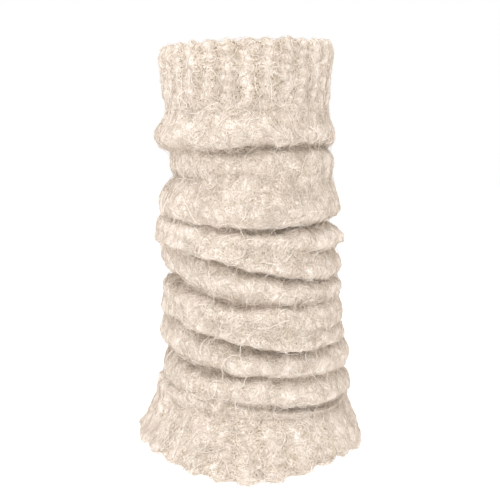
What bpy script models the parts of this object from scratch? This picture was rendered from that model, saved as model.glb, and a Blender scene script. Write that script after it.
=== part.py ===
"""Knitted leg warmer, filled out as it sits on a leg: ribbed cuff, tube pushed down into folds, ribbed hem.

The toes point along -Y, +X is on the viewer's right and +Z is up. The origin is the centre of the cuff, half
way up it, where the cuff grips the calf. Sizes and tables are in millimetres, and MM turns them into metres.
"""

import math
from collections import namedtuple

import bmesh
import bpy
import numpy as np

MM = 0.001

# The cloth: a thick brushed knit, and the gap left where two knitted stretches meet
WALL = 4.0
SEAM_GAP = 0.3
RIBS = 28

# Points around each tube, rows down each fold of the leg tube, and where its inner face has rows. The leg presses
# the inner face smoother than the outer one, over INNER_EASE up and down.
RIB_POINTS = 4
TUBE_POINTS = 56
FOLD_ROWS = 5
FINE_FOLD_ROWS = 20
INNER_SHARES = (0.0, 0.5)
INNER_EASE = 7.0

# Relief of the ribs, from half depth to crest, and of the scallops that they end in. The rows are shares of the
# way down the cuff and the hem, and RIM_ROUND is how far the rim is drawn in at its very edge.
CUFF_RIB = 1.0
HEM_RIB = 0.8
CUFF_SCALLOP = 0.9
HEM_SCALLOP = 1.2
RIM_ROUND = 1.4
CUFF_ROWS = (0.06, 0.4, 0.8)
HEM_ROWS = (0.2, 0.5, 0.75, 0.96)
MID_ROW = 0.5

# Each table gives a size at four sides of the leg; between them it runs smoothly round. Half way between them the
# hem's edge is lifted, more so at front right than at front left.
Sides = namedtuple("Sides", "left front right back")

CUFF_TOP = {"z": Sides(17.5, 19.5, 21.5, 20.0), "radius": Sides(62.5, 61.0, 59.0, 63.0)}
CUFF_SEAM = {"z": Sides(-25.5, -25.5, -25.5, -25.5), "radius": Sides(57.5, 58.5, 55.5, 60.0)}
HEM_SEAM = {"z": Sides(-215.0, -226.5, -223.5, -212.0), "radius": Sides(63.5, 67.0, 69.0, 62.0)}
HEM_EDGE = {"z": Sides(-244.5, -264.0, -255.0, -257.0), "radius": Sides(76.5, 88.0, 79.5, 72.0)}
HEM_FLARE = Sides(1.5, 1.2, 0.75, 1.3)
HEM_LIFT = 3.8
HEM_TWIST = 2.8

# Valleys between the folds, from the cuff down, each with its height and its depth below the lower of the two
# folds beside it. Where the depth runs down to nothing the two folds are one, and a figure below nothing sets
# how far round the leg that lasts.
Crease = namedtuple("Crease", "name z depth")
CREASES = (
    Crease("under the cuff roll", Sides(-53.5, -51.5, -51.5, -58.0), Sides(-1.0, 6.0, 6.0, 4.0)),
    Crease("shelf", Sides(-69.0, -73.0, -71.0, -74.0), Sides(4.5, -0.5, 1.5, 0.5)),
    Crease("calf", Sides(-97.0, -103.0, -100.5, -96.0), Sides(3.5, 9.0, 13.0, 6.0)),
    Crease("right nick", Sides(-106.0, -117.0, -117.5, -112.0), Sides(-4.5, -1.5, 7.0, 1.0)),
    Crease("long slant", Sides(-114.0, -130.0, -139.0, -127.0), Sides(-1.0, 9.0, 9.0, 7.0)),
    Crease("left dip", Sides(-136.0, -152.5, -152.0, -145.0), Sides(9.0, 7.5, 2.0, 6.0)),
    Crease("right ripple", Sides(-149.0, -166.0, -169.5, -158.0), Sides(-3.0, -1.0, 3.5, 2.0)),
    Crease("deep", Sides(-162.0, -179.5, -183.0, -171.0), Sides(3.0, 11.0, 3.0, 7.5)),
    Crease("ankle", Sides(-186.5, -200.5, -199.5, -190.0), Sides(6.0, 8.0, 6.0, 7.0)),
    Crease("right lip", Sides(-206.0, -217.5, -218.5, -203.0), Sides(-8.0, 3.5, 5.5, 1.0)),
)

# One fold above each crease, and one between the last crease and the hem. crest is how far down the fold its
# fullest line lies, and droop what share of the fold's height that line has sagged. ease is how slowly the fold
# swells from its upper edge, and tuck how slowly it closes at its lower one, at each side.
Fold = namedtuple("Fold", "name radius crest droop ease tuck")
FOLDS = (
    Fold("cuff roll", Sides(65.5, 62.5, 60.5, 64.5), 0.58, 0.07, 1.5, Sides(1.0, 0.6, 0.6, 0.8)),
    Fold("recess", Sides(55.0, 58.5, 60.0, 58.5), 0.50, 0.0, 0.7, Sides(1.4, 0.7, 0.7, 0.7)),
    Fold("calf roll", Sides(63.0, 65.5, 64.5, 65.0), 0.60, 0.08, 1.2, Sides(0.5, 0.5, 0.5, 0.5)),
    Fold("upper nick", Sides(64.5, 65.0, 67.0, 64.0), 0.60, 0.07, 0.6, Sides(0.6, 0.6, 0.6, 0.6)),
    Fold("lower nick", Sides(65.5, 66.0, 65.0, 64.5), 0.50, 0.12, 0.7, Sides(0.7, 0.5, 0.5, 0.5)),
    Fold("slanted roll", Sides(60.5, 64.5, 65.5, 64.0), 0.42, 0.07, 0.7, Sides(1.5, 0.9, 0.9, 0.9)),
    Fold("ripple top", Sides(61.5, 66.0, 67.0, 63.0), 0.55, 0.07, 0.8, Sides(0.6, 0.6, 0.6, 0.6)),
    Fold("ripple foot", Sides(61.5, 66.5, 67.5, 63.5), 0.60, 0.12, 0.7, Sides(0.6, 0.5, 0.5, 0.5)),
    Fold("ankle roll", Sides(62.0, 65.5, 70.5, 62.5), 0.52, 0.1, 0.7, Sides(0.6, 0.6, 0.6, 0.6)),
    Fold("right roll", Sides(59.0, 68.5, 72.0, 64.5), 0.60, 0.12, 0.9, Sides(0.7, 0.5, 0.5, 0.5)),
    Fold("over the hem", Sides(63.5, 67.5, 69.5, 62.5), 0.50, 0.05, 1.0, Sides(0.8, 0.8, 0.8, 0.8)),
)

# How squarely a fold turns over above and below its crest; 2 would be an ellipse
UPPER_FLANK = 1.8
LOWER_FLANK = 2.2

# A crease wanders up and down by this much between the four sides, three times round
WANDER = 1.0
WANDER_LOBES = 3
WANDER_TURN = 2.4


def around(sides, angles):
    """A smooth periodic curve through the four sides' values; angle 0 is the front, and 90 degrees the right."""
    mean = sum(sides) / len(sides)
    front_to_back = (sides.front - sides.back) / 2
    right_to_left = (sides.right - sides.left) / 2
    oval = (sides.front + sides.back - sides.left - sides.right) / 4
    return (
        mean
        + front_to_back * np.cos(angles)
        + right_to_left * np.sin(angles)
        + oval * np.cos(2 * angles)
    )


def mix(a, b, share):
    return a + (b - a) * share


def ring(radius, z, angles):
    """Points of one ring, in millimetres, from its radius and height at each angle."""
    return np.stack([radius * np.sin(angles), -radius * np.cos(angles), z + 0 * angles], axis=1)


def turn(points):
    """Angles of that many points round the leg, half a step off the front."""
    return (np.arange(points) + 0.5) * 2 * math.pi / points


def hem_plane(radius, angles):
    """Height of the flat slanting cut where the tube meets the hem, at points that far from the axis."""
    z, reach = HEM_SEAM["z"], HEM_SEAM["radius"]
    across = (z.right - z.left) / (reach.right + reach.left)
    along = (z.back - z.front) / (reach.back + reach.front)
    middle = z.left + across * reach.left
    return middle + across * radius * np.sin(angles) - along * radius * np.cos(angles)


def bulge(share, fold, angles):
    """How full a fold is part way down it: 0 at its two creases and 1 at its crest.

    The upper flank eases out, and the lower one turns in sharply, as a roll of cloth that has slumped does.
    """
    if share < fold.crest:
        return (1 - ((fold.crest - share) / fold.crest) ** UPPER_FLANK) ** fold.ease
    return (1 - ((share - fold.crest) / (1 - fold.crest)) ** LOWER_FLANK) ** around(fold.tuck, angles)


def fold_share(row, rows):
    """Rows lie closer together near the creases, where the fold turns fastest."""
    return (1 - math.cos(math.pi * row / rows)) / 2


def crease_height(index, angles):
    wander = WANDER * np.sin(WANDER_LOBES * angles + WANDER_TURN * index)
    return around(CREASES[index].z, angles) + wander


def crease_radius(index, angles):
    above, below = around(FOLDS[index].radius, angles), around(FOLDS[index + 1].radius, angles)
    return np.minimum(above, below) - np.maximum(around(CREASES[index].depth, angles), 0.0)


def tube_borders(angles):
    """Heights and radii of the lines that bound the folds: the cuff seam, each crease, the hem seam."""
    borders = [(around(CUFF_SEAM["z"], angles) - SEAM_GAP / 2, around(CUFF_SEAM["radius"], angles))]
    for index in range(len(CREASES)):
        borders.append((crease_height(index, angles), crease_radius(index, angles)))
    hem_radius = around(HEM_SEAM["radius"], angles)
    borders.append((hem_plane(hem_radius, angles) + SEAM_GAP / 2, hem_radius))
    return borders


def outer_face(borders, angles, rows_in_fold):
    """Radius and height of each ring of the tube's outer face, from cuff to hem."""
    radii, heights = [], []
    for index, fold in enumerate(FOLDS):
        (top_z, top_radius), (foot_z, foot_radius) = borders[index], borders[index + 1]
        crest_radius = around(fold.radius, angles)
        for row in range(rows_in_fold):
            share = fold_share(row, rows_in_fold)
            full = bulge(share, fold, angles)
            flank = mix(top_radius, foot_radius, share)
            radii.append(mix(flank, crest_radius, full))
            heights.append(mix(top_z, foot_z, share + fold.droop * full))
    radii.append(borders[-1][1])
    heights.append(borders[-1][0])
    return np.array(radii), np.array(heights)


def inner_face(borders, angles):
    """Radius and height of each ring inside the wall: as if a roller as thick as the wall, and as tall as its ease
    allows, had run down the outside.
    """
    radii, heights = outer_face(borders, angles, FINE_FOLD_ROWS)
    rings = []
    for index in range(len(FOLDS)):
        for share in INNER_SHARES:
            z = mix(borders[index][0], borders[index + 1][0], share)
            off = np.minimum(np.abs(heights - z) / INNER_EASE, 1.0)
            near = np.where(off < 1.0, radii - WALL * np.sqrt(1 - off**2), np.inf)
            rings.append((near.min(axis=0), z))
    return rings[1:]


def place(row, points):
    for vert, point in zip(row, points):
        vert.co = point * MM


def ring_edges(shape, row):
    return [shape.edges.get(pair) for pair in zip(row, row[1:] + row[:1])]


def next_ring(shape, row, points):
    """Extrudes the last ring of the wall into one more, which goes to the given points."""
    made = bmesh.ops.extrude_edge_only(shape, edges=ring_edges(shape, row))["geom"]
    new = {vert for vert in made if isinstance(vert, bmesh.types.BMVert)}
    row = [next(e.other_vert(v) for e in v.link_edges if e.other_vert(v) in new) for v in row]
    place(row, points)
    return row


def loft(name, rings, material):
    """A closed tube wall: rings down the outside, round the lower edge, up the inside, and back to the first."""
    shape = bmesh.new()
    first = bmesh.ops.create_circle(shape, cap_ends=False, radius=1.0, segments=len(rings[0]))["verts"]
    place(first, rings[0])
    last = first
    for points in rings[1:]:
        last = next_ring(shape, last, points)
    bmesh.ops.bridge_loops(shape, edges=ring_edges(shape, first) + ring_edges(shape, last))
    bmesh.ops.recalc_face_normals(shape, faces=shape.faces)
    mesh = bpy.data.meshes.new(name)
    shape.to_mesh(mesh)
    shape.free()
    mesh.materials.append(material)
    mesh.shade_smooth()
    bpy.context.scene.collection.objects.link(bpy.data.objects.new(name, mesh))


def leg_tube(material):
    angles = turn(TUBE_POINTS)
    borders = tube_borders(angles)
    outside = [ring(radius, z, angles) for radius, z in zip(*outer_face(borders, angles, FOLD_ROWS))]
    top_radius = around(CUFF_SEAM["radius"], angles) - WALL
    foot_radius = around(HEM_SEAM["radius"], angles) - WALL
    top = ring(top_radius, borders[0][0], angles)
    foot = ring(foot_radius, hem_plane(foot_radius, angles) + SEAM_GAP / 2, angles)
    up_the_inside = [ring(radius, z, angles) for radius, z in reversed(inner_face(borders, angles))]
    loft("leg_tube", outside + [foot] + up_the_inside + [top], material)


def rib_wave(angles):
    return np.cos(RIBS * angles)


def rib_cuff(material):
    angles = turn(RIBS * RIB_POINTS)
    wave = rib_wave(angles)
    top_z = around(CUFF_TOP["z"], angles) + CUFF_SCALLOP * wave
    seam_z = around(CUFF_SEAM["z"], angles) + SEAM_GAP / 2
    top_radius = around(CUFF_TOP["radius"], angles)
    seam_radius = around(CUFF_SEAM["radius"], angles)

    def row(share, rib, inset=0.0):
        radius = mix(top_radius, seam_radius, share) + rib * wave - inset
        return ring(radius, mix(top_z, seam_z, share), angles)

    outside = [row(0.0, CUFF_RIB, RIM_ROUND)] + [row(share, CUFF_RIB) for share in CUFF_ROWS] + [row(1.0, 0.0)]
    inside = [row(share, 0.0, WALL) for share in (1.0, MID_ROW, CUFF_ROWS[0])]
    loft("rib_cuff", outside + inside + [row(0.0, 0.0, WALL - RIM_ROUND)], material)


def hem_lift(angles):
    """How much higher the hem hangs half way between its four sides, and more so at front right."""
    quarters = np.sin(2 * angles)
    return HEM_LIFT * quarters**2 + HEM_TWIST * quarters


def rib_hem(material):
    angles = turn(RIBS * RIB_POINTS)
    wave = rib_wave(angles)
    seam_radius = around(HEM_SEAM["radius"], angles)
    edge_radius = around(HEM_EDGE["radius"], angles)
    edge_z = around(HEM_EDGE["z"], angles) + hem_lift(angles) - HEM_SCALLOP * wave
    flare = around(HEM_FLARE, angles)

    def row(share, rib, inset=0.0):
        radius = mix(seam_radius, edge_radius, share**flare) + rib * wave - inset
        seam_z = hem_plane(radius, angles) - SEAM_GAP / 2
        return ring(radius, mix(seam_z, edge_z, share), angles)

    outside = [row(0.0, 0.0)] + [row(share, HEM_RIB) for share in HEM_ROWS] + [row(1.0, HEM_RIB, RIM_ROUND)]
    inside = [row(share, 0.0, WALL) for share in (HEM_ROWS[-1], MID_ROW, 0.0)]
    loft("rib_hem", outside + [row(1.0, 0.0, WALL - RIM_ROUND)] + inside, material)


def brushed_knit(name, colour):
    """Undyed wool and alpaca, brushed up: matt, with no metal in it."""
    material = bpy.data.materials.new(name)
    material.use_nodes = True
    shader = material.node_tree.nodes["Principled BSDF"]
    shader.inputs["Base Color"].default_value = (*colour, 1.0)
    shader.inputs["Roughness"].default_value = 0.95
    shader.inputs["Metallic"].default_value = 0.0
    return material


def main():
    for old in list(bpy.data.objects):
        bpy.data.objects.remove(old)
    rib_knit = brushed_knit("brushed rib knit", (0.78, 0.66, 0.55))
    leg_knit = brushed_knit("brushed leg knit", (0.80, 0.68, 0.57))
    rib_cuff(rib_knit)
    leg_tube(leg_knit)
    rib_hem(rib_knit)


main()
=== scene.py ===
# Looks for the knitted leg warmer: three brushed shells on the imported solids, and the curly nap over them.
# Metres, +Z up, toes towards -Y, with the origin in the middle of the cuff. The knitting's own tables, and the
# nap's, are in millimetres.
import math

import bmesh
import bpy
import numpy as np
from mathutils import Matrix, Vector, noise


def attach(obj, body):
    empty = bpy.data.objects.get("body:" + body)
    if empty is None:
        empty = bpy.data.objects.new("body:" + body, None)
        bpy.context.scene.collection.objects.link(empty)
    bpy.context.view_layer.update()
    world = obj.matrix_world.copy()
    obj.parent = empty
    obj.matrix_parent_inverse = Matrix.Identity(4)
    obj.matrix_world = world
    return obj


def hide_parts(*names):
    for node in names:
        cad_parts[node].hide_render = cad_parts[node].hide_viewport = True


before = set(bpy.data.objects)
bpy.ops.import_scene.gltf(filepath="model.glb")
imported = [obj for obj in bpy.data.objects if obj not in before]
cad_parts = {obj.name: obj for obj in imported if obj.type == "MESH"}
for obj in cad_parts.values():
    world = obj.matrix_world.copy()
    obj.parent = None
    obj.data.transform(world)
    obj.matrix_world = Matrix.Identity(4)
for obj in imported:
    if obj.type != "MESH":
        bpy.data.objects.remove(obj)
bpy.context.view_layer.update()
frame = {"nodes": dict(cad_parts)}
mm = 0.001
print("frame loaded:", ", ".join(frame["nodes"]))

# Shared by all three stretches of knitting
knit = {
    "wall": 4.0,
    "seamGap": 0.06,         # closer than the solids, so that the nap hides it
    "ribs": 28,
    "pointsInRib": 10,
    "strayLength": 11.0,     # the length over which a rib strays to one side
    "stitchTall": 6.2,
    "stitchStep": 0.37,      # how much of a stitch each rib is higher than the one before
    "stitchShade": 0.6,     # painted shade in the gap between two stitches, next to that in the gap between two ribs
    "napDepth": 1.2,         # the yarn lies this far under the solid's face, and the nap fills the rest
    "meanRound": 390.0,      # round the leg, for the cloth's own map
    "rimTurns": (30, 60, 90, 120, 150),    # degrees round a free edge, from its outer to its inner side
    "plainShade": 0.36,     # painted shade on the plain knit, where 0 is none and 1 the darkest
    "sunkShade": 0.1,       # and how much more painted shade for each millimetre that it sinks
    # painted shade on the inside of the wall and on its round free edges
    "innerShade": 0.5,
    "edgeNap": 0.8,          # the nap is thinner along a free edge
    "innerNap": 0.5,         # and thinner still on the inside
    "sharp": 70.0,           # degrees; the wall's edges keener than this stay sharp
}

# Felted lumps in the brushed knit: size across and height
felting = ((17.0, 1.4), (8.0, 1.0), (4.0, 0.35))

# What each kind of chance starts from, and how many lumps lie between one start and the next
seeds = {"felt": 15, "cuffRibs": 3, "hemRibs": 7, "ragged": 11, "uneven": 23, "nap": 1423}
seedStep = 31.7


# Smooth periodic curve through the values at the left, front, right and back; angle 0 is the front
def aroundLeg(sides, angles):
    left, front, right, back = sides
    oval = (front + back - left - right) / 4
    turned = (front - back) / 2 * np.cos(angles) + (right - left) / 2 * np.sin(angles)
    return sum(sides) / 4 + turned + oval * np.cos(2 * angles)


# The value that lies that share of the way from a to b
def mix(a, b, share):
    return a + (b - a) * share


# The angles of so many points round the leg
def turn(points):
    return (np.arange(points) + 0.5) * 2 * math.pi / points


# Points round the axis, in one ring or in a grid of rings
def ringPoints(radius, z, angles):
    return np.stack([radius * np.sin(angles), -radius * np.cos(angles), z + 0 * angles], axis=-1)


# Noise at each point of a grid, between about -1 and 1, in lumps of the given size
def lumps(grid, size, seed):
    flat = grid.reshape(-1, 3) / size + seedStep * seed
    return np.array([noise.noise(Vector(point)) for point in flat]).reshape(grid.shape[:-1])


# Which way is out at each point of a grid of rings that runs down the leg
def outward(grid):
    across = np.roll(grid, -1, axis=1) - np.roll(grid, 1, axis=1)
    normals = np.cross(np.gradient(grid, axis=0), across)
    for end in (0, -1):
        normals[end] = grid[end] * (1, 1, 0)    # level there, so that two stretches meet
    return normals / np.linalg.norm(normals, axis=2, keepdims=True)


# The lumps lift and sink the cloth, and what sinks gets more painted shade
def felt(grid, paintedShade):
    rise = sum(high * lumps(grid, size, seeds["felt"] + index) for index, (size, high) in enumerate(felting))
    moved = grid + outward(grid) * (rise - knit["napDepth"])[..., None]
    return moved, np.clip(paintedShade - knit["sunkShade"] * rise, 0.0, 1.0)


# The rounded free edge between the last ring of a face and the wall's other face; up is 1 or -1
def rim(radius, z, angles, up):
    half = knit["wall"] / 2
    turns = [math.radians(degrees) for degrees in knit["rimTurns"]]
    middle = radius - half
    return [ringPoints(middle + half * math.cos(a), z + up * half * math.sin(a), angles) for a in turns]


# Closed tube wall through rings of points: down the outside and up the inside. nap says how much fibre grows
# on each ring, the next argument how much painted shade each point's colour gets, and crease how far below the
# folds beside it.
# Its points and faces are put in the order of the rings, because the fibres are scattered by that order.
def loftWall(name, rings, nap, paintedShade, crease=()):
    shape = bmesh.new()
    count = len(rings[0])
    row = first = bmesh.ops.create_circle(shape, cap_ends=False, radius=1.0, segments=count)["verts"]
    order = []
    for index, points in enumerate(rings):
        if index:
            edges = [shape.edges.get(pair) for pair in zip(row, row[1:] + row[:1])]
            made = bmesh.ops.extrude_edge_only(shape, edges=edges)["geom"]
            new = {vert for vert in made if isinstance(vert, bmesh.types.BMVert)}
            row = [next(e.other_vert(v) for e in v.link_edges if e.other_vert(v) in new) for v in row]
        for vert, point in zip(row, points):
            vert.co = point * mm
        order += row
    rims = [shape.edges.get(pair) for ring in (first, row) for pair in zip(ring, ring[1:] + ring[:1])]
    bmesh.ops.bridge_loops(shape, edges=rims)
    bmesh.ops.recalc_face_normals(shape, faces=shape.faces)
    if shape.calc_volume(signed=True) < 0:
        bmesh.ops.reverse_faces(shape, faces=shape.faces)
    rank = {vert: number for number, vert in enumerate(order)}
    shape.verts.sort(key=rank.get)
    shape.faces.sort(key=lambda face: sum(rank[vert] ** 2 for vert in face.verts))
    mesh = bpy.data.meshes.new(name)
    shape.to_mesh(mesh)
    shape.free()
    mesh.shade_smooth()
    mesh.set_sharp_from_angle(angle=math.radians(knit["sharp"]))
    deep = np.zeros(len(rings) * count)
    deep[:np.size(crease)] = np.ravel(crease)
    looks = {"nap": np.repeat(nap, count), "paintedShade": np.concatenate(paintedShade), "crease": deep}
    for title, values in looks.items():
        layer = mesh.attributes.new(title, "FLOAT", "POINT")
        layer.data.foreach_set("value", values.astype(np.float32))
    wrapCloth(mesh, np.array(rings) * mm)
    piece = bpy.data.objects.new(name, mesh)
    bpy.context.scene.collection.objects.link(piece)
    print(name, len(mesh.polygons) * 2, "triangles")
    return piece


# The cloth's own map, in metres: u runs round the leg and v down along the cloth
def wrapCloth(mesh, grid):
    count = grid.shape[1]
    steps = np.linalg.norm(np.diff(grid, axis=0), axis=2).mean(axis=1)
    down = np.concatenate([[0.0], np.cumsum(steps)])
    corner = np.empty(len(mesh.loops), np.int32)
    mesh.loops.foreach_get("vertex_index", corner)
    sides = np.empty(len(mesh.polygons), np.int32)
    mesh.polygons.foreach_get("loop_total", sides)
    face = np.repeat(np.arange(len(sides)), sides)
    column = (corner % count).astype(float)
    wraps = np.zeros(len(sides), bool)
    wraps[face[column == count - 1]] = True
    column[wraps[face] & (column == 0)] = count
    u = column / count * knit["meanRound"] * mm
    places = np.stack([u, down[corner // count]], axis=1)
    mesh.uv_layers.new(name="cloth").data.foreach_set("uv", places.ravel())


# Ribs that stray a little to each side, and the stitches down them; crests are 1 and valleys -1
def ribWave(look, grid, angles, seed):
    stray = look["wander"] * lumps(grid, knit["strayLength"], seed) / look["meanRadius"]
    wave = np.cos(knit["ribs"] * (angles + stray))
    column = np.floor(knit["ribs"] * angles / (2 * math.pi) + 0.5)
    stitch = np.cos(2 * math.pi * (grid[..., 2] / knit["stitchTall"] + knit["stitchStep"] * column))
    return wave, stitch


# The ribs and stitches raise the outside, and paint shade into the valleys between them; settle says how much
# of them there is on each ring
def ribRelief(look, grid, angles, seed, settle):
    wave, stitch = ribWave(look, grid, angles, seed)
    relief = (look["rib"] * wave + look["stitchDeep"] * stitch) * settle[:, None]
    paintedShade = knit["plainShade"] - look["valleyShade"] * (wave + knit["stitchShade"] * stitch) * settle[:, None]
    return grid + outward(grid) * relief[..., None], paintedShade


# The ribbed cuff
cuff = {
    "top": {"z": (17.5, 19.5, 21.5, 20.0), "radius": (62.5, 61.0, 59.0, 63.0)},
    "seam": {"z": (-25.5, -25.5, -25.5, -25.5), "radius": (57.5, 58.5, 55.5, 60.0)},
    "meanRadius": 60.0,
    "lean": (3.0, 0.5, 2.0, 1.0),    # how far the edge leans in, over leanTall
    "leanTall": 7.0,
    "rib": 0.85,             # half the depth of a rib
    "scallop": 0.9,
    "wander": 1.6,           # how far a rib strays sideways
    "stitchDeep": 0.25,
    "valleyShade": 0.2,              # painted shade in the valleys between the ribs
    "rows": 34,
    "innerRows": 6,
    "ribRunOut": 0.3,        # the ribs settle into the tube over this share of the cuff
}


def ribCuff():
    angles = turn(knit["ribs"] * knit["pointsInRib"])
    half = knit["wall"] / 2
    topZ = aroundLeg(cuff["top"]["z"], angles) + cuff["scallop"] * np.cos(knit["ribs"] * angles)
    topZ -= half + knit["napDepth"] / 2    # room for the round edge and the nap on it
    seamZ = aroundLeg(cuff["seam"]["z"], angles) + knit["seamGap"] / 2
    topRadius, seamRadius = (aroundLeg(cuff[end]["radius"], angles) for end in ("top", "seam"))

    def face(rows, inset):
        shares = np.linspace(0, 1, rows)[:, None]
        z = mix(topZ, seamZ, shares)
        leaning = np.clip(1 - (topZ - z) / cuff["leanTall"], 0, 1) ** 2 * aroundLeg(cuff["lean"], angles)
        return ringPoints(mix(topRadius, seamRadius, shares) - leaning - inset, z, angles)

    settle = np.clip((1 - np.linspace(0, 1, cuff["rows"])) / cuff["ribRunOut"], 0, 1)
    outside, paintedShade = ribRelief(cuff, face(cuff["rows"], 0.0), angles, seeds["cuffRibs"], settle)
    outside, paintedShade = felt(outside, paintedShade)
    inside = face(cuff["innerRows"], knit["wall"])[::-1]
    edge = rim(np.hypot(outside[0, :, 0], outside[0, :, 1]), topZ, angles, 1)[::-1]
    rings = [*outside, *inside, *edge]
    # The inside and the round edge get painted shade
    plain = np.full(len(angles), knit["innerShade"])
    nap = [1.0] * len(outside) + [knit["innerNap"]] * len(inside) + [knit["edgeNap"]] * len(edge)
    return loftWall("rib_cuff_knit", rings, nap, [*paintedShade, *[plain] * (len(inside) + len(edge))])


# The ribbed hem, which flares out over the shoe
hem = {
    "seam": {"z": (-215.0, -226.5, -223.5, -212.0), "radius": (63.5, 67.0, 69.0, 62.0)},
    "edge": {"z": (-244.5, -264.0, -255.0, -257.0), "radius": (76.5, 88.0, 79.5, 72.0)},
    "flare": (1.5, 1.2, 0.75, 1.3),        # the higher, the later it flares out
    "lift": 3.8,             # how much higher the edge lies between the four sides
    "twist": 2.8,            # how much higher again at two of those places, and lower at the other two
    "meanRadius": 72.0,
    "rib": 0.5,
    "scallop": 1.1,
    "wander": 1.8,
    "stitchDeep": 0.2,
    # painted shade in the valleys between the ribs
    "valleyShade": 0.12,
    "rows": 36,
    "innerRows": 8,
    "ribRunIn": 0.4,         # the ribs grow out of the tube over this share of the hem
}


# Height of the flat slanting cut where the tube meets the hem, at points that far from the axis
def hemPlane(radius, angles):
    (zLeft, zFront, zRight, zBack), (left, front, right, back) = hem["seam"]["z"], hem["seam"]["radius"]
    across = (zRight - zLeft) / (right + left)
    along = (zBack - zFront) / (back + front)
    return zLeft + across * (left + radius * np.sin(angles)) - along * radius * np.cos(angles)


def ribHem():
    angles = turn(knit["ribs"] * knit["pointsInRib"])
    half = knit["wall"] / 2
    quarters = np.sin(2 * angles)
    edgeZ = aroundLeg(hem["edge"]["z"], angles) + hem["lift"] * quarters**2 + hem["twist"] * quarters
    edgeZ += half - hem["scallop"] * np.cos(knit["ribs"] * angles)
    seamRadius, edgeRadius = (aroundLeg(hem[end]["radius"], angles) for end in ("seam", "edge"))
    flare = aroundLeg(hem["flare"], angles)

    def face(rows, inset):
        shares = np.linspace(0, 1, rows)[:, None]
        radius = mix(seamRadius, edgeRadius, shares**flare) - inset
        seamZ = hemPlane(radius, angles) - knit["seamGap"] / 2
        return ringPoints(radius, mix(seamZ, edgeZ, shares), angles)

    settle = np.clip(np.linspace(0, 1, hem["rows"]) / hem["ribRunIn"], 0, 1)
    outside, paintedShade = ribRelief(hem, face(hem["rows"], 0.0), angles, seeds["hemRibs"], settle)
    outside, paintedShade = felt(outside, paintedShade)
    inside = face(hem["innerRows"], knit["wall"])[::-1]
    edge = rim(np.hypot(outside[-1, :, 0], outside[-1, :, 1]), edgeZ, angles, -1)
    rings = [*outside, *edge, *inside]
    # The inside and the round edge get painted shade
    plain = np.full(len(angles), knit["innerShade"])
    nap = [1.0] * len(outside) + [knit["edgeNap"]] * len(edge) + [knit["innerNap"]] * len(inside)
    return loftWall("rib_hem_knit", rings, nap, [*paintedShade, *[plain] * (len(inside) + len(edge))])


# The tube. Creases from the cuff down, each with its heights and its depths at left, front, right and back.
# A depth below nothing sets how far round the leg the two folds beside it stay one. At the left and right
# some are deeper than the solid's, because the nap fills a notch in the outline.
creases = (
    ("under the cuff roll", (-53.5, -51.5, -51.5, -58.0), (-1.0, 6.0, 7.5, 4.0)),
    ("shelf", (-69.0, -73.0, -71.0, -74.0), (4.5, -0.5, 1.5, 0.5)),
    ("calf", (-97.0, -103.0, -100.5, -96.0), (3.5, 9.0, 13.0, 6.0)),
    ("right nick", (-106.0, -117.0, -117.5, -112.0), (-4.5, -1.5, 7.0, 1.0)),
    ("long slant", (-114.0, -130.0, -139.0, -127.0), (-1.0, 9.0, 9.0, 7.0)),
    ("left dip", (-137.5, -152.5, -152.0, -145.0), (12.0, 7.0, 2.0, 6.0)),
    ("right ripple", (-149.0, -166.0, -169.5, -158.0), (-3.0, -1.0, 3.5, 2.0)),
    ("deep", (-162.0, -179.5, -183.0, -171.0), (3.0, 11.0, 3.0, 7.5)),
    ("ankle", (-186.5, -200.5, -199.5, -190.0), (8.0, 7.5, 6.0, 7.0)),
    ("right lip", (-206.0, -217.5, -218.5, -203.0), (-8.0, 3.5, 5.5, 1.0)),
)

# Folds between them: full radius, how far down the crest lies, its sag, how slowly it swells, and how slowly
# it tucks in at each side
folds = (
    ("cuff roll", (65.5, 62.5, 60.5, 64.5), 0.58, 0.07, 1.5, (1.0, 0.6, 1.1, 0.8)),
    ("recess", (55.0, 58.5, 60.0, 58.5), 0.50, 0.0, 0.7, (1.4, 0.7, 0.7, 0.7)),
    ("calf roll", (63.0, 65.5, 64.5, 65.0), 0.60, 0.08, 1.2, (0.6, 0.5, 1.1, 0.6)),
    ("upper nick", (64.5, 65.0, 66.5, 64.0), 0.60, 0.07, 0.6, (0.6, 0.6, 1.0, 0.6)),
    ("lower nick", (65.5, 66.0, 65.0, 64.5), 0.50, 0.12, 0.7, (0.7, 0.5, 0.5, 0.5)),
    ("slanted roll", (60.5, 64.5, 65.5, 64.0), 0.42, 0.07, 0.7, (2.0, 0.9, 0.9, 0.9)),
    ("ripple top", (60.0, 66.0, 67.0, 63.0), 0.55, 0.07, 0.9, (0.6, 0.6, 0.6, 0.6)),
    ("ripple foot", (61.5, 66.5, 67.5, 63.5), 0.60, 0.12, 0.7, (0.6, 0.5, 0.5, 0.5)),
    ("ankle roll", (61.5, 65.5, 70.5, 62.5), 0.52, 0.1, 0.7, (1.4, 0.6, 0.6, 0.6)),
    ("right roll", (59.0, 68.5, 72.0, 64.5), 0.60, 0.12, 0.9, (0.7, 0.5, 0.5, 0.5)),
    ("over the hem", (63.5, 67.5, 69.5, 62.5), 0.50, 0.05, 1.0, (0.8, 0.8, 0.8, 0.8)),
)

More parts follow.
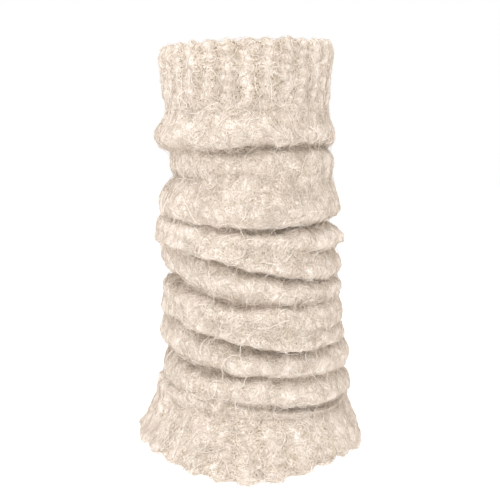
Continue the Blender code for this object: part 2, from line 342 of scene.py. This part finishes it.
tube = {
    "points": 280,
    "rowsInFold": 13,
    "innerShares": (0.0, 0.5),             # where in each fold the inner face has its rings
    "innerEase": 7.0,        # the leg presses the inner face smoother, over this far up and down
    "upperFlank": 1.8,       # powers of the two flanks' curves; the higher, the fuller
    "lowerFlank": 2.2,
    "wander": 1.0,           # each crease goes up and down by this, so many times round
    "wanderLobes": 3,
    "wanderTurn": 2.4,       # radians of that from one crease to the next
    "ragged": (1.5, 12.0),   # how far a crease strays besides, and over what length
    "uneven": (0.2, 24.0),   # by what share a crease is deeper here and shallower there, and over what length
    "deepest": 8.0,          # a crease this deep gets the whole painted shade, and a fold this high the whole painted highlight
    "creaseShade": 0.6,     # painted shade in such a crease
    "creasePower": 1.5,      # above 1, only the deep part of a crease gets so much painted shade
    "crown": 0.3,            # painted highlight: how much less painted shade such a fold's crest gets
    # painted shade on the inside of the wall
    "innerShade": 0.6,
    "settle": 6.0,           # its painted shade settles to the ribs' plain value over this distance
    "bridged": 9.0,          # folds this far apart have fibres across the crease between them
}


def creaseLine(index, angles):
    _, heights, depths = creases[index]
    above, below = (aroundLeg(folds[fold][1], angles) for fold in (index, index + 1))
    radius = np.minimum(above, below)
    wave = np.sin(tube["wanderLobes"] * angles + tube["wanderTurn"] * index)
    z = aroundLeg(heights, angles) + tube["wander"] * wave
    line = ringPoints(radius, z, angles)
    strays, strayLength = tube["ragged"]
    share, shareLength = tube["uneven"]
    z = z + strays * lumps(line, strayLength, seeds["ragged"] + index)
    uneven = 1 + share * lumps(line, shareLength, seeds["uneven"] + index)
    return z, radius - np.maximum(aroundLeg(depths, angles), 0.0) * uneven


# How deep each point lies below the folds close by, and how high above the creases close by
def creaseDepth(grid):
    radii, heights = np.hypot(grid[..., 0], grid[..., 1]), grid[..., 2]
    near = np.abs(heights[:, None] - heights[None]) < tube["bridged"]
    fullest = np.where(near, radii[None], -np.inf).max(axis=1)
    leanest = np.where(near, radii[None], np.inf).min(axis=1)
    folded = np.where(near, fullest[None], np.inf).min(axis=1)
    pressed = np.where(near, leanest[None], -np.inf).max(axis=1)
    return folded - radii, radii - pressed


# How full a fold is part way down it: 0 at its creases and 1 at its crest
def bulge(share, crest, ease, tuck):
    if share < crest:
        return (1 - ((crest - share) / crest) ** tube["upperFlank"]) ** ease
    return (1 - ((share - crest) / (1 - crest)) ** tube["lowerFlank"]) ** tuck


def legTube():
    angles = turn(tube["points"])
    cuffSeam = aroundLeg(cuff["seam"]["z"], angles) - knit["seamGap"] / 2
    cuffRadius, hemRadius = (aroundLeg(end["seam"]["radius"], angles) for end in (cuff, hem))
    borders = [(cuffSeam, cuffRadius)] + [creaseLine(index, angles) for index in range(len(creases))]
    borders.append((hemPlane(hemRadius, angles) + knit["seamGap"] / 2, hemRadius))
    outside = []
    for index, (_, fullRadius, crest, sag, ease, tuck) in enumerate(folds):
        (topZ, topRadius), (footZ, footRadius) = borders[index], borders[index + 1]
        crestRadius = aroundLeg(fullRadius, angles)
        for row in range(tube["rowsInFold"]):
            share = (1 - math.cos(math.pi * row / tube["rowsInFold"])) / 2
            full = bulge(share, crest, ease, aroundLeg(tuck, angles))
            radius = mix(mix(topRadius, footRadius, share), crestRadius, full)
            outside.append(ringPoints(radius, mix(topZ, footZ, share + sag * full), angles))
    outside.append(ringPoints(hemRadius, borders[-1][0], angles))
    outside = np.array(outside)
    inside = innerFace(outside, borders, angles)
    crease, crown = creaseDepth(outside)
    # Painted shade in the creases and painted highlight on the fold crests, fading to the plain value near the
    # seams
    inCrease = np.clip(crease / tube["deepest"], 0, 1) ** tube["creasePower"]
    paintedShade = mix(knit["plainShade"], tube["creaseShade"], inCrease)
    paintedShade = paintedShade - tube["crown"] * np.clip(crown / tube["deepest"], 0, 1)
    heights = outside[..., 2]
    fromSeams = np.minimum(cuffSeam - heights, heights - borders[-1][0])
    paintedShade = mix(knit["plainShade"], paintedShade, np.clip(fromSeams / tube["settle"], 0, 1))
    outside, paintedShade = felt(outside, paintedShade)
    footRadius = hemRadius - knit["wall"]
    foot = ringPoints(footRadius, hemPlane(footRadius, angles) + knit["seamGap"] / 2, angles)
    rings = [*outside, foot, *inside[::-1], ringPoints(cuffRadius - knit["wall"], cuffSeam, angles)]
    # The inside and the two end rings get painted shade
    plain = np.full(len(angles), tube["innerShade"])
    nap = [1.0] * len(outside) + [0.0] * (len(inside) + 2)
    return loftWall("leg_tube_knit", rings, nap, [*paintedShade, *[plain] * (len(inside) + 2)], crease)


# The inside of the wall, as if a roller as thick as it had run down the outside
def innerFace(outside, borders, angles):
    radii, heights = np.hypot(outside[..., 0], outside[..., 1]), outside[..., 2]
    rings = []
    for (topZ, _), (footZ, _) in zip(borders, borders[1:]):
        for share in tube["innerShares"]:
            z = mix(topZ, footZ, share)
            off = np.minimum(np.abs(heights - z) / tube["innerEase"], 1.0)
            near = np.where(off < 1.0, radii - knit["wall"] * np.sqrt(1 - off**2), np.inf)
            rings.append(ringPoints(near.min(axis=0), z, angles))
    return rings[1:]    # the seam at the cuff has a ring of its own


# Materials

# sRGB hex to the linear colour that a node wants
def linear(hexColour):
    parts = [int(hexColour[i:i + 2], 16) / 255 for i in (0, 2, 4)]
    return (*[p / 12.92 if p <= 0.04045 else ((p + 0.055) / 1.055) ** 2.4 for p in parts], 1.0)


# Adds a node; settings are its own, and each input is a value or another node's output
def addNode(tree, kind, inputs=None, **settings):
    node = tree.nodes.new(kind)
    for key, value in settings.items():
        setattr(node, key, value)
    for key, value in (inputs or {}).items():
        if isinstance(value, bpy.types.NodeSocket):
            tree.links.new(value, node.inputs[key])
        else:
            node.inputs[key].default_value = value
    return node


def ramp(tree, value, stops):
    node = addNode(tree, "ShaderNodeValToRGB", {"Fac": value})
    elements = node.color_ramp.elements
    while len(elements) < len(stops):
        elements.new(0.5)
    for element, (place, colour) in zip(elements, stops):
        element.position = place
        element.color = linear(colour)
    return node.outputs["Color"]


# Wool and alpaca knit, raised with wire brushes: a dull felt of fine curled fibres, with dark pores in it.
# Painted shade darkens the creases, rib valleys and the inside, and painted highlight lightens fold crests.
# Tones run from 0 in the darkest painted shade to 0.8 and over on the lightest fibre, and each range says
# where in its cloud a thing shows.
yarn = {
    "colours": ((0.0, "918069"), (0.22, "c2b39f"), (0.45, "d6c8bb"), (0.8, "f2eae1")),
    "grain": 0.95 * mm,      # fibres are about 0.03 mm, drawn as wide as the render can show
    "swirl": 7.0 * mm,       # size of a curl in the felt
    "swirled": 1.8,          # how far it pushes the fibres along, in curls
    "pore": 1.2 * mm,
    "bump": 0.5 * mm,
    "bumpShare": 0.6,
    "fibreRange": (0.25, 0.75),
    "fibreTones": (0.15, 0.65),
    "lineRange": (0.26, 0.44),
    "lineTones": (-0.05, 0.19),            # what the lines of the loops add
    "brokenUp": 1.3,         # the lines come and go over this many loops
    "brokenRange": (0.35, 0.6),
    "brokenShares": (0.15, 1.0),
    "shadeTones": (0.16, -0.24),          # painted highlight where there is no painted shade, and the darkening where it is whole
    "poreRange": (0.34, 0.46),
    "poreTone": -0.4,
    "poreShadeRange": (0.05, 0.6),            # pores begin to show, and show wholly, at so much painted shade
    "poreShares": (0.1, 1.0),
    "roughness": 0.95,
    "gloss": 0.15,
    "sheen": 0.85,
    "sheenTint": "fff6f0",
}

# The raised fibres, from the darkest and finest to the lightest and thickest
fleece = {
    "colours": ((0.0, "cbbba9"), (0.3, "ded0c0"), (0.7, "ece0d3"), (1.0, "f8efe5")),
    "roughness": 0.8,
    "gloss": 0.2,
    "sheen": 0.25,
    "sheenTint": "fff8f2",
}

# Loops that lie side by side in the felt: how far across, and how many lines of fibre from low to high
feltLoops = ((9.0, 12.0), (6.0, 8.5), (13.0, 17.0))


# A material with that look's surface, and its shader and tree
def woolSurface(name, look):
    material = bpy.data.materials.new(name)
    material.use_nodes = True
    shader = material.node_tree.nodes["Principled BSDF"]
    shader.inputs["Roughness"].default_value = look["roughness"]
    shader.inputs["Specular IOR Level"].default_value = look["gloss"]
    shader.inputs["Sheen Weight"].default_value = look["sheen"]
    shader.inputs["Sheen Roughness"].default_value = 0.5
    shader.inputs["Sheen Tint"].default_value = linear(look["sheenTint"])
    return material, shader, material.node_tree


def brushedKnit():
    material, shader, tree = woolSurface("Brushed wool and alpaca knit", yarn)

    def calculate(operation, a, b=0.0):
        return addNode(tree, "ShaderNodeMath", {0: a, 1: b}, operation=operation).outputs[0]

    def span(value, low, high, newLow, newHigh):
        ends = {"Value": value, "From Min": low, "From Max": high, "To Min": newLow, "To Max": newHigh}
        return addNode(tree, "ShaderNodeMapRange", ends).outputs[0]

    def cloud(vector, size, detail, output="Fac"):
        inputs = {"Vector": vector, "Scale": 1 / size, "Detail": detail}
        return addNode(tree, "ShaderNodeTexNoise", inputs).outputs[output]

    place = addNode(tree, "ShaderNodeTexCoord").outputs["Object"]
    paintedShade = addNode(tree, "ShaderNodeAttribute", attribute_name="paintedShade").outputs["Fac"]
    push = {0: cloud(place, yarn["swirl"], 2.0, "Color"), "Scale": yarn["swirl"] * yarn["swirled"]}
    push = addNode(tree, "ShaderNodeVectorMath", push, operation="SCALE").outputs[0]
    curled = addNode(tree, "ShaderNodeVectorMath", {0: place, 1: push}, operation="ADD").outputs[0]

    # Fine curled fibre, and loops that follow the level lines of a cloud, broken up here and there
    tone = span(cloud(curled, yarn["grain"], 2.0), *yarn["fibreRange"], *yarn["fibreTones"])
    for size, lines in feltLoops:
        level = calculate("MULTIPLY", cloud(place, size * mm, 0.6), lines)
        line = span(calculate("PINGPONG", level, 0.5), *yarn["lineRange"], *yarn["lineTones"])
        shown = cloud(place, size * mm * yarn["brokenUp"], 0.0)
        shown = span(shown, *yarn["brokenRange"], *yarn["brokenShares"])
        tone = calculate("ADD", tone, calculate("MULTIPLY", line, shown))

    # Painted shade darkens it, painted highlight lightens the crests, and the pores show in the painted shade
    tone = calculate("ADD", tone, span(paintedShade, 0.0, 1.0, *yarn["shadeTones"]))
    pores = span(cloud(place, yarn["pore"], 1.0), *yarn["poreRange"], yarn["poreTone"], 0.0)
    opened = span(paintedShade, *yarn["poreShadeRange"], *yarn["poreShares"])
    tone = calculate("ADD", tone, calculate("MULTIPLY", pores, opened))
    tree.links.new(ramp(tree, tone, yarn["colours"]), shader.inputs["Base Color"])
    raised = {"Height": tone, "Distance": yarn["bump"], "Strength": yarn["bumpShare"]}
    relief = addNode(tree, "ShaderNodeBump", raised)
    tree.links.new(relief.outputs["Normal"], shader.inputs["Normal"])
    return material


# Alpaca fibres raised from the yarn: fine, pale and slightly glossy, each with its own tone
def raisedFibre():
    material, shader, tree = woolSurface("Raised alpaca fibre", fleece)
    tone = addNode(tree, "ShaderNodeAttribute", attribute_name="tone").outputs["Fac"]
    tree.links.new(ramp(tree, tone, fleece["colours"]), shader.inputs["Base Color"])
    return material


# The nap: lengths in mm, and bend in radians for each mm, so 0.2 is part of a circle of 5 mm radius

# Long fibres that curl along the surface
longCurls = {
    "perSquareMetre": 62000,
    "points": 9,
    "length": (11.0, 32.0),
    "bend": 0.28,
    "lift": (0.1, 1.0),      # how high over the yarn it lies
    "arch": 1.0,             # 1 tucks both ends in, 0 leaves one end free
    "thick": (0.1, 0.26),    # radius; the finest that the render shows
    "stray": (1.8, 5.0),     # how far a fibre strays from its arc, and over what length
    "tuck": 0.5,
    "comb": 0.0,             # how far it leans to the way that the ribs run
    "loose": 0.8,            # how much higher it may run straight on
    "crushed": 5.0,          # it lies lowest in a crease this deep
}

# Short fibres that stand up off the yarn at one end, and soften the outline
shortNap = {
    "perSquareMetre": 80000,
    "points": 4,
    "length": (4.5, 10.0),
    "bend": 0.3,
    "lift": (0.5, 2.0),
    "arch": 0.3,
    "thick": (0.07, 0.15),
    "stray": (1.2, 3.5),
    "tuck": 0.4,
    "comb": 0.0,
    "loose": 0.6,
    "crushed": 5.0,
}

# Fibres that pass from one fold to the next over the crease
bridging = {
    **longCurls,
    "perSquareMetre": 11000,
    "length": (14.0, 30.0),
    "bend": 0.16,
    "lift": (0.2, 1.2),
    "comb": 0.6,
}

# What all fibres share
strand = {
    "sides": 3,
    "combed": 1.4,           # how much a comb counts against a direction by chance
    "crushedLift": 0.3,      # how much of its lift a fibre keeps where it lies lowest
    "darker": 1.6,           # above 1, more fibres are dark and fine than light and thick
    "endPower": 4.0,         # the higher, the shorter the ends
    "endThinner": 0.7,
    "upright": 0.3,          # a fibre closer to the knit than this rises straight off it
    "filled": 2.0,           # the bridging ones lie over creases filled by this much at most
    "seedStep": 10,          # each lot draws from the five numbers after its own
}


# Geometry nodes that scatter fibres on a shell, curl each along the guide and give them thickness
def fibreNodes(name, look, seed, guide, material):
    tree = bpy.data.node_groups.new(name, "GeometryNodeTree")
    for side in ("INPUT", "OUTPUT"):
        tree.interface.new_socket("Geometry", in_out=side, socket_type="NodeSocketGeometry")
    shell = addNode(tree, "NodeGroupInput").outputs[0]
    bed = addNode(tree, "GeometryNodeObjectInfo", {"Object": guide}).outputs["Geometry"]

    def calculate(operation, a, b=0.0, c=0.0):
        return addNode(tree, "ShaderNodeMath", {0: a, 1: b, 2: c}, operation=operation).outputs[0]

    def combine(operation, a, b=(0, 0, 0), result=0):
        return addNode(tree, "ShaderNodeVectorMath", {0: a, 1: b}, operation=operation).outputs[result]

    def stretch(vector, size):
        return addNode(tree, "ShaderNodeVectorMath", {0: vector, "Scale": size}, operation="SCALE").outputs[0]

    def chance(low, high, number):
        node = addNode(tree, "FunctionNodeRandomValue", {"Seed": seed + number}, data_type="FLOAT")
        for key, value in (("Min", low), ("Max", high)):
            next(s for s in node.inputs if s.name == key and s.enabled).default_value = value
        return next(s for s in node.outputs if s.enabled)

    def keep(geometry, title, value, kind="FLOAT"):
        inputs = {"Geometry": geometry, "Name": title}
        node = addNode(tree, "GeometryNodeStoreNamedAttribute", inputs, data_type=kind)
        tree.links.new(value, next(s for s in node.inputs if s.name == "Value" and s.enabled))
        return node.outputs["Geometry"]

    def recall(title, kind="FLOAT"):
        node = addNode(tree, "GeometryNodeInputNamedAttribute", {"Name": title}, data_type=kind)
        return node.outputs["Attribute"]

    # Roots on the shell, each with a direction along it
    density = calculate("MULTIPLY", recall("nap"), look["perSquareMetre"])
    scattered = {"Mesh": shell, "Density": density, "Seed": seed}
    roots = addNode(tree, "GeometryNodeDistributePointsOnFaces", scattered)
    anyWay = addNode(tree, "FunctionNodeRandomValue", {"Seed": seed + 1}, data_type="FLOAT_VECTOR")
    anyWay.inputs["Min"].default_value = (-1, -1, -1)
    anyWay.inputs["Max"].default_value = (1, 1, 1)
    normal = roots.outputs["Normal"]
    level = combine("NORMALIZE", combine("CROSS_PRODUCT", normal, (0, 0, 1)))
    upright = combine("CROSS_PRODUCT", normal, level)
    along = combine("CROSS_PRODUCT", normal, anyWay.outputs["Value"])
    along = combine("NORMALIZE", combine("ADD", along, stretch(upright, look["comb"] * strand["combed"])))
    points = roots.outputs["Points"]
    points = keep(points, "root", addNode(tree, "GeometryNodeInputPosition").outputs[0], "FLOAT_VECTOR")
    points = keep(points, "along", along, "FLOAT_VECTOR")
    points = keep(points, "side", combine("CROSS_PRODUCT", normal, along), "FLOAT_VECTOR")
    points = keep(points, "bend", chance(-look["bend"] / mm, look["bend"] / mm, 2))
    points = keep(points, "reach", chance(look["length"][0] * mm, look["length"][1] * mm, 3))
    crushing = {
        "Value": recall("crease"),
        "From Max": look["crushed"],
        "To Min": 1.0,
        "To Max": strand["crushedLift"],
    }
    low = addNode(tree, "ShaderNodeMapRange", crushing).outputs[0]
    lift = chance(look["lift"][0] * mm, look["lift"][1] * mm, 4)
    points = keep(points, "lift", calculate("MULTIPLY", lift, low))
    points = keep(points, "tone", calculate("POWER", chance(0.0, 1.0, 5), strand["darker"]))

    # A straight line for each, whose points are then moved onto a curl
    line = addNode(tree, "GeometryNodeCurvePrimitiveLine", {"Start": (0, 0, 0), "End": (1, 0, 0)})
    line = addNode(tree, "GeometryNodeResampleCurve", {"Curve": line.outputs[0], "Count": look["points"]})
    fibres = addNode(tree, "GeometryNodeInstanceOnPoints", {"Points": points, "Instance": line.outputs[0]})
    fibres = addNode(tree, "GeometryNodeRealizeInstances", {"Geometry": fibres.outputs[0]}).outputs[0]
    fibres = keep(fibres, "part", addNode(tree, "GeometryNodeSplineParameter").outputs["Factor"])
    part = recall("part")
    distance = calculate("MULTIPLY", calculate("SUBTRACT", part, 0.5), recall("reach"))
    bend = recall("bend")
    angle = calculate("MULTIPLY", bend, distance)
    forward = stretch(recall("along", "FLOAT_VECTOR"), calculate("DIVIDE", calculate("SINE", angle), bend))
    sideways = calculate("DIVIDE", calculate("SUBTRACT", 1.0, calculate("COSINE", angle)), bend)
    flat = combine("ADD", forward, stretch(recall("side", "FLOAT_VECTOR"), sideways))
    flat = combine("ADD", recall("root", "FLOAT_VECTOR"), flat)
    far, size = look["stray"]
    where = combine("ADD", flat, addNode(tree, "ShaderNodeCombineXYZ", {"X": recall("tone")}).outputs[0])
    stray = addNode(tree, "ShaderNodeTexNoise", {"Vector": where, "Scale": 1 / (size * mm), "Detail": 1.0})
    stray = stretch(combine("SUBTRACT", stray.outputs["Color"], (0.5, 0.5, 0.5)), 2 * far * mm)
    flat = combine("ADD", flat, stray)

    # Close to the guide, within each fibre's own reach off it
    probe = {0: bed, "Sample Position": flat}
    nearest = addNode(tree, "GeometryNodeProximity", probe, target_element="FACES").outputs["Position"]
    facing = addNode(tree, "GeometryNodeSampleNearestSurface", {"Mesh": bed}, data_type="FLOAT_VECTOR")
    tree.links.new(addNode(tree, "GeometryNodeInputNormal").outputs[0], facing.inputs["Value"])
    tree.links.new(flat, facing.inputs["Sample Position"])
    facing = facing.outputs["Value"]
    off = combine("SUBTRACT", flat, nearest)
    outside = calculate("GREATER_THAN", combine("DOT_PRODUCT", off, facing, "Value"), 0.0)
    outside = stretch(off, outside)
    away = combine("NORMALIZE", combine("ADD", outside, stretch(facing, strand["upright"] * mm)))
    ends = calculate("ABSOLUTE", calculate("MULTIPLY_ADD", part, 2.0, -1.0))
    ends = calculate("POWER", ends, strand["endPower"])
    arched = calculate("MULTIPLY", calculate("SUBTRACT", 1.0, ends), look["arch"])
    share = calculate("MULTIPLY_ADD", part, 1 - look["arch"], arched)
    height = calculate("MAXIMUM", combine("LENGTH", outside, (0, 0, 0), "Value"), recall("lift"))
    height = calculate("MINIMUM", height, calculate("ADD", recall("lift"), look["loose"] * mm))
    height = calculate("MULTIPLY", height, share)
    height = calculate("SUBTRACT", height, calculate("MULTIPLY", ends, look["tuck"] * mm * look["arch"]))
    place = combine("ADD", nearest, stretch(away, height))
    fibres = addNode(tree, "GeometryNodeSetPosition", {"Geometry": fibres, "Position": place}).outputs[0]

    # Thickness, finer at the ends
    thin = calculate("SUBTRACT", 1.0, calculate("MULTIPLY", ends, strand["endThinner"]))
    finest, thickest = look["thick"]
    thickness = calculate("MULTIPLY_ADD", recall("tone"), (thickest - finest) * mm, finest * mm)
    section = {"Resolution": strand["sides"], "Radius": 1.0}
    outline = addNode(tree, "GeometryNodeCurvePrimitiveCircle", section).outputs[0]
    scale = calculate("MULTIPLY", thin, thickness)
    drawn = {"Curve": fibres, "Profile Curve": outline, "Fill Caps": True, "Scale": scale}
    strands = addNode(tree, "GeometryNodeCurveToMesh", drawn).outputs[0]
    strands = addNode(tree, "GeometryNodeSetShadeSmooth", {"Geometry": strands}).outputs[0]
    strands = addNode(tree, "GeometryNodeSetMaterial", {"Geometry": strands, "Material": material}).outputs[0]
    addNode(tree, "NodeGroupOutput", {0: strands})
    return tree


# The faces that nap grows on, of all three stretches in one, so that a fibre can pass from one to the next.
# Each crease is filled by half its depth, and by fill at most, so that fibres span it.
def napGuide(name, shells, fill):
    shape = bmesh.new()
    for shell in shells:
        shape.from_mesh(shell.data)
    nap, crease = (shape.verts.layers.float[title] for title in ("nap", "crease"))
    bmesh.ops.delete(shape, geom=[vert for vert in shape.verts if vert[nap] == 0], context="VERTS")
    for vert in shape.verts:
        grown = 1 + min(vert[crease] / 2, fill) * mm / math.hypot(vert.co.x, vert.co.y)
        vert.co.x *= grown
        vert.co.y *= grown
    mesh = bpy.data.meshes.new(name)
    shape.to_mesh(mesh)
    shape.free()
    guide = bpy.data.objects.new(name, mesh)
    bpy.context.scene.collection.objects.link(guide)
    return guide


# Grows one lot of fibres on a shell, as a mesh of its own
def growNap(name, shell, look, seed, guide, material):
    grower = bpy.data.objects.new(name, shell.data)
    bpy.context.scene.collection.objects.link(grower)
    modifier = grower.modifiers.new("fibres", "NODES")
    modifier.node_group = fibreNodes(name, look, seed, guide, material)
    grown = grower.evaluated_get(bpy.context.evaluated_depsgraph_get())
    mesh = bpy.data.meshes.new_from_object(grown)
    mesh.name = name
    grower.modifiers.clear()
    grower.data = mesh
    for title in ("root", "along", "side", "bend", "reach", "lift", "part"):
        if title in mesh.attributes:
            mesh.attributes.remove(mesh.attributes[title])
    print(name, sum(len(p.vertices) - 2 for p in mesh.polygons), "triangles")
    return grower


knitted = brushedKnit()
fibre = raisedFibre()
shells = {"rib_cuff": ribCuff(), "leg_tube": legTube(), "rib_hem": ribHem()}
knitGuide = napGuide("nap_guide", shells.values(), 0.0)
foldGuide = napGuide("fold_guide", shells.values(), strand["filled"])


def halved(look):
    return {**look, "perSquareMetre": look["perSquareMetre"] / 2}


# The tube is large, so its fibres grow in two lots of each kind
onRibs = [("curls", {**longCurls, "comb": 0.8}), ("nap", shortNap)]
onTube = [(f"curls_{lot}", halved(longCurls)) for lot in (1, 2)]
onTube += [(f"nap_{lot}", halved(shortNap)) for lot in (1, 2)]
growth = {"rib_cuff": onRibs, "leg_tube": [*onTube, ("bridges", bridging)], "rib_hem": onRibs}
seed = seeds["nap"]
for node, lots in growth.items():
    shell = shells[node]
    shell.data.materials.append(knitted)
    naps = []
    for title, look in lots:
        guide = foldGuide if title == "bridges" else knitGuide
        naps.append(growNap(f"{node}_{title}", shell, look, seed, guide, fibre))
        seed += strand["seedStep"]
    for piece in [shell, *naps]:
        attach(piece, "root")
    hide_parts(node)
for guide in (knitGuide, foldGuide):
    bpy.data.meshes.remove(guide.data)
print("nap grown")

# Stage: pale floor a shoe's height below the hem, white studio and soft lights
studio = {
    "floorZ": -0.33,
    "floorSize": 12.0,
    "white": "ffffff",
    "paint": "fbfbfb",
    "surround": 0.71,        # light from the walls, next to the white that the camera sees
    "floorGlow": 0.45,       # lit from under its white sheet, so that it has no shadow on it
    "aim": (0, 0, -0.12),    # the lights point at the middle of the leg warmer
}

# Each light's place, size, power and colour
lights = {
    "key": ((-1.0, -0.5, 0.5), 1.2, 6.9, "fbfcff"),
    "fill": ((0.9, -0.3, 0.3), 1.2, 3.3, "ffffff"),
    "top": ((-0.1, -0.5, 1.1), 0.9, 9.5, "fafcff"),
}


def softLight(name, place, size, power, colour):
    lamp = bpy.data.lights.new(name, "AREA")
    lamp.shape = "DISK"
    lamp.size = size
    lamp.energy = power
    lamp.color = linear(colour)[:3]
    light = bpy.data.objects.new(name, lamp)
    light.location = place
    light.rotation_euler = (Vector(studio["aim"]) - Vector(place)).to_track_quat("-Z", "Y").to_euler()
    bpy.context.scene.collection.objects.link(light)


def makeStage():
    shape = bmesh.new()
    bmesh.ops.create_grid(shape, x_segments=1, y_segments=1, size=studio["floorSize"] / 2)
    bmesh.ops.translate(shape, verts=shape.verts, vec=(0, 0, studio["floorZ"]))
    mesh = bpy.data.meshes.new("studio_floor")
    shape.to_mesh(mesh)
    shape.free()
    floor = bpy.data.objects.new("studio_floor", mesh)
    bpy.context.scene.collection.objects.link(floor)
    paint = bpy.data.materials.new("Matt white studio paint")
    paint.use_nodes = True
    coat = paint.node_tree.nodes["Principled BSDF"].inputs
    coat["Base Color"].default_value = linear(studio["paint"])
    coat["Roughness"].default_value = 1.0
    coat["Emission Color"].default_value = linear(studio["white"])
    coat["Emission Strength"].default_value = studio["floorGlow"]
    mesh.materials.append(paint)
    world = bpy.context.scene.world or bpy.data.worlds.new("studio")
    bpy.context.scene.world = world
    world.use_nodes = True
    sky = world.node_tree.nodes["Background"]
    sky.inputs["Color"].default_value = linear(studio["white"])
    seen = addNode(world.node_tree, "ShaderNodeLightPath").outputs["Is Camera Ray"]
    ends = {"Value": seen, "To Min": studio["surround"], "To Max": 1.0}
    bright = addNode(world.node_tree, "ShaderNodeMapRange", ends)
    world.node_tree.links.new(bright.outputs[0], sky.inputs["Strength"])
    for name, light in lights.items():
        softLight(name, *light)


makeStage()

# Camera at eye level with the leg warmer's upper third, looking slightly down
view = {
    "eye": (0.0014, -0.805, -0.045),
    "aim": (0.0014, 0.0, -0.122),
    "lens": 83.2,
    "sensor": 36.0,
    "nearest": 0.05,
}
camera = bpy.data.objects.new("camera", bpy.data.cameras.new("camera"))
camera.data.lens = view["lens"]
camera.data.sensor_width = view["sensor"]
camera.data.clip_start = view["nearest"]
camera.location = view["eye"]
camera.rotation_euler = (Vector(view["aim"]) - Vector(view["eye"])).to_track_quat("-Z", "Y").to_euler()
bpy.context.scene.collection.objects.link(camera)
bpy.context.scene.camera = camera
bpy.context.scene.view_settings.view_transform = "Standard"
